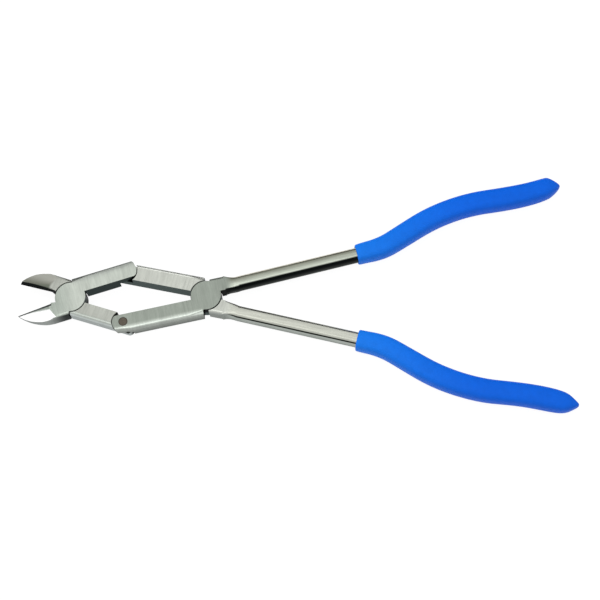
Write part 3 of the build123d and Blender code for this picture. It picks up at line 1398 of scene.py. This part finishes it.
@dataclass(frozen=True)
class ShownPiece:
    """A piece that is shown in place of its solid, and the body that carries it."""

    name: str
    body: str

    def hand_over(self, piece: bpy.types.Object, slot: str) -> None:
        """Let the finished piece stand in for its solid.

        Args:
            piece: The finished piece.
            slot: Name of its finish, which is only logged.
        """
        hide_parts(self.name)
        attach(piece, self.body)
        LOG.info("%s in %s", self.name, slot)


@dataclass(frozen=True)
class Half(ShownPiece):
    """One forged half: its place, its steel, its edges and how it is fuller than drawn."""

    place: HalfPlace
    steel: GroundSteel
    edges: EdgeBreak = EdgeBreak()
    fits: tuple[Fit, ...] = ()

    def build(self, node: bpy.types.Object) -> None:
        """Grind the half from its solid.

        Args:
            node: The solid's node.
        """
        piece = merged_copy(node, self.name + "_ground")
        for fit in self.fits:
            fit.apply(piece, self.place)
        self.edges.apply(piece)
        dress(piece, self.steel.material(self.name + "_steel", self.place))
        self.hand_over(piece, "ground_steel")


@dataclass(frozen=True)
class Pin(ShownPiece):
    """One pin of a joint."""

    steel: PinSteel = PinSteel()
    edges: EdgeBreak = EdgeBreak(width=0.1)

    def build(self, node: bpy.types.Object) -> None:
        """Turn the pin from its solid.

        Args:
            node: The solid's node.
        """
        low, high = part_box(self.name)
        centre = (low + high) / 2
        centre.z = 0
        radius = (high.x - low.x) / 2
        piece = merged_copy(node, self.name + "_turned")
        self.edges.apply(piece)
        dress(piece, self.steel.material(self.name + "_steel", centre, radius))
        self.hand_over(piece, "pin_steel")


@dataclass(frozen=True)
class Grip(ShownPiece):
    """One dipped grip over the end of its handle."""

    place: HalfPlace
    sleeve: DippedGrip
    vinyl: DippedVinyl = DippedVinyl()

    def build(self) -> None:
        """Dip the grip."""
        piece = self.sleeve.build(self.name + "_dipped", self.place)
        dress(piece, self.vinyl.material(self.name + "_vinyl"))
        self.hand_over(piece, "blue_vinyl")


FRONT_PIVOT_X = -77.677 * MM
FRONT_OPENING = 17.5
REAR_OPENING = 12.012
UPPER_FRONT = HalfPlace(FRONT_PIVOT_X, FRONT_OPENING, Layer.UPPER)
LOWER_FRONT = HalfPlace(FRONT_PIVOT_X, FRONT_OPENING, Layer.LOWER)
UPPER_REAR = HalfPlace(0, REAR_OPENING, Layer.UPPER)
LOWER_REAR = HalfPlace(0, REAR_OPENING, Layer.LOWER)
FRONT_REACH = 34.2
REAR_REACH = 48.8
LOFTED_EDGES = EdgeBreak(crease_angle=25)

HALVES = (
    Half(
        "front_half_lower_jaw",
        "lower_jaw",
        UPPER_FRONT,
        JawSteel(
            face=srgb(188, 194, 185),
            margin_reflection=srgb(162, 167, 161),
            rounding=srgb(165, 170, 164),
            outer_wall_reflection=srgb(159, 164, 160),
            outer_foot_reflection=srgb(163, 168, 166),
            inner_wall_shade=srgb(50, 59, 58),
            margin_from=5.8,
            back_edge=10.3,
            root=srgb(164, 172, 163),
            land=srgb(150, 158, 150),
            facet_back_reflection=srgb(240, 240, 240),
            facet_edge_reflection=srgb(240, 240, 240),
            bevel_start=-11.4,
        ),
        fits=(ArmFit(growth=0.9, direction=1, reach=FRONT_REACH),),
    ),
    Half(
        "front_half_upper_jaw",
        "upper_jaw",
        LOWER_FRONT,
        JawSteel(
            face=srgb(173, 176, 168),
            margin_reflection=srgb(166, 170, 162),
            rounding=srgb(170, 176, 169),
            outer_wall_reflection=srgb(184, 191, 188),
            outer_foot_reflection=srgb(184, 191, 190),
            root=srgb(176, 179, 171),
            land=srgb(112, 117, 106),
            facet_back_reflection=srgb(178, 179, 170),
            facet_edge_reflection=srgb(114, 116, 104),
            crease_softness=1.4,
            bevel_start=-9.3,
            bevel_root=-1.0,
            bevel_tip=-1.9,
            bevel_belly=0.4,
        ),
        fits=(JawFit(),),
    ),
    Half(
        "rear_half_upper_handle",
        "upper_handle",
        UPPER_REAR,
        HandleSteel(
            face=srgb(147, 154, 145),
            margin_reflection=srgb(178, 185, 176),
            rounding=srgb(198, 205, 197),
            outer_wall_reflection=srgb(158, 163, 157),
            outer_foot_reflection=srgb(118, 122, 118),
            margin_from=7.0,
            back_edge=8.6,
            wall_flatness=(0.75, 0.93),
            shank_outer_reflection=srgb(104, 104, 88),
            shank_inner_reflection=srgb(178, 184, 172),
            outer_corner_reflection=srgb(245, 242, 226),
            corner_flatness=(0.82, 0.95),
        ),
        edges=LOFTED_EDGES,
        fits=(
            ShankFit(inner=1.6, outer=-0.1),
            ArmFit(growth=1.15, direction=-1, reach=REAR_REACH, end_taper=4),
        ),
    ),
    Half(
        "rear_half_lower_handle",
        "lower_handle",
        LOWER_REAR,
        HandleSteel(
            face=srgb(191, 194, 186),
            margin_reflection=srgb(191, 194, 186),
            rounding=srgb(245, 248, 240),
            inner_wall_shade=srgb(75, 87, 85),
            lap_mouth_painted_tone=srgb(180, 184, 176),
            margin_from=8.0,
            back_edge=8.9,
            shank_outer_reflection=srgb(182, 184, 174),
            shank_inner_reflection=srgb(196, 198, 188),
            inner_corner_reflection=srgb(195, 198, 190),
            inner_side_reflection=srgb(130, 134, 130),
        ),
        edges=LOFTED_EDGES,
        fits=(
            ShankFit(inner=0.6, outer=1.15),
            ArmFit(growth=0.85, direction=-1, reach=REAR_REACH),
        ),
    ),
)

PINS = (
    Pin("front_pivot_rivet", "upper_jaw"),
    Pin("rear_pivot_rivet", "lower_handle"),
    Pin("upper_elbow_pin", "lower_handle"),
    Pin("lower_elbow_pin", "upper_handle"),
)

UPPER_SLEEVE = DippedGrip(
    bore=(-5.1, 3.4),
    rings=(
        Ring(70.2, -6.2, 5.0, 11.7),
        Ring(76, -6.2, 5.5, 11.8),
        Ring(84, -7.0, 5.5, 12.0),
        Ring(93, -7.05, 5.6, 12.2),
        Ring(104, -6.9, 6.1, 12.4),
        Ring(118, -6.7, 6.3, 12.5),
        Ring(135, -6.55, 6.4, 12.5),
        Ring(152, -6.4, 6.6, 12.5),
        Ring(166, -6.6, 6.5, 12.5),
        Ring(176, -6.3, 6.45, 12.5),
        Ring(184, -5.6, 6.9, 12.4),
        Ring(189, -4.7, 7.25, 11.8),
        Ring(190.6, -4.1, 7.0, 11.2),
        Ring(193.6, -2.4, 4.4, 9.2),
        Ring(195.6, -0.9, 2.2, 6.6),
        Ring(196.6, 0.1, 0.9, 4.2),
    ),
)
LOWER_SLEEVE = DippedGrip(
    bore=(-4.1, 4.7),
    rings=(
        Ring(70.2, -5.5, 6.4, 11.7),
        Ring(76, -5.55, 6.5, 11.8),
        Ring(84, -6.2, 6.55, 12.0),
        Ring(93, -6.4, 6.4, 12.2),
        Ring(104, -6.3, 6.75, 12.4),
        Ring(118, -6.4, 6.8, 12.5),
        Ring(135, -6.6, 6.45, 12.5),
        Ring(150, -6.6, 6.4, 12.5),
        Ring(160, -7.0, 5.75, 12.5),
        Ring(170, -7.4, 5.4, 12.5),
        Ring(180, -7.4, 5.6, 12.5),
        Ring(187, -6.95, 5.45, 12.2),
        Ring(191.3, -6.0, 4.6, 11.2),
        Ring(194, -4.3, 3.1, 9.2),
        Ring(196.5, -2.6, 1.0, 6.6),
        Ring(198.1, -1.4, -0.3, 4.2),
    ),
)

GRIPS = (
    Grip("upper_grip", "upper_handle", UPPER_REAR, UPPER_SLEEVE),
    Grip("lower_grip", "lower_handle", LOWER_REAR, LOWER_SLEEVE),
)


def main() -> None:
    """Build the looks around the frame."""
    logging.basicConfig(level=logging.INFO, format="%(message)s")
    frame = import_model()
    nodes = frame["nodes"]
    bpy.context.scene.view_settings.view_transform = "Standard"
    for half in HALVES:
        half.build(nodes[half.name])
    for pin in PINS:
        pin.build(nodes[pin.name])
    for grip in GRIPS:
        grip.build()
    Studio().build()
    PhotoCamera().build()


if __name__ == "__main__":
    main()
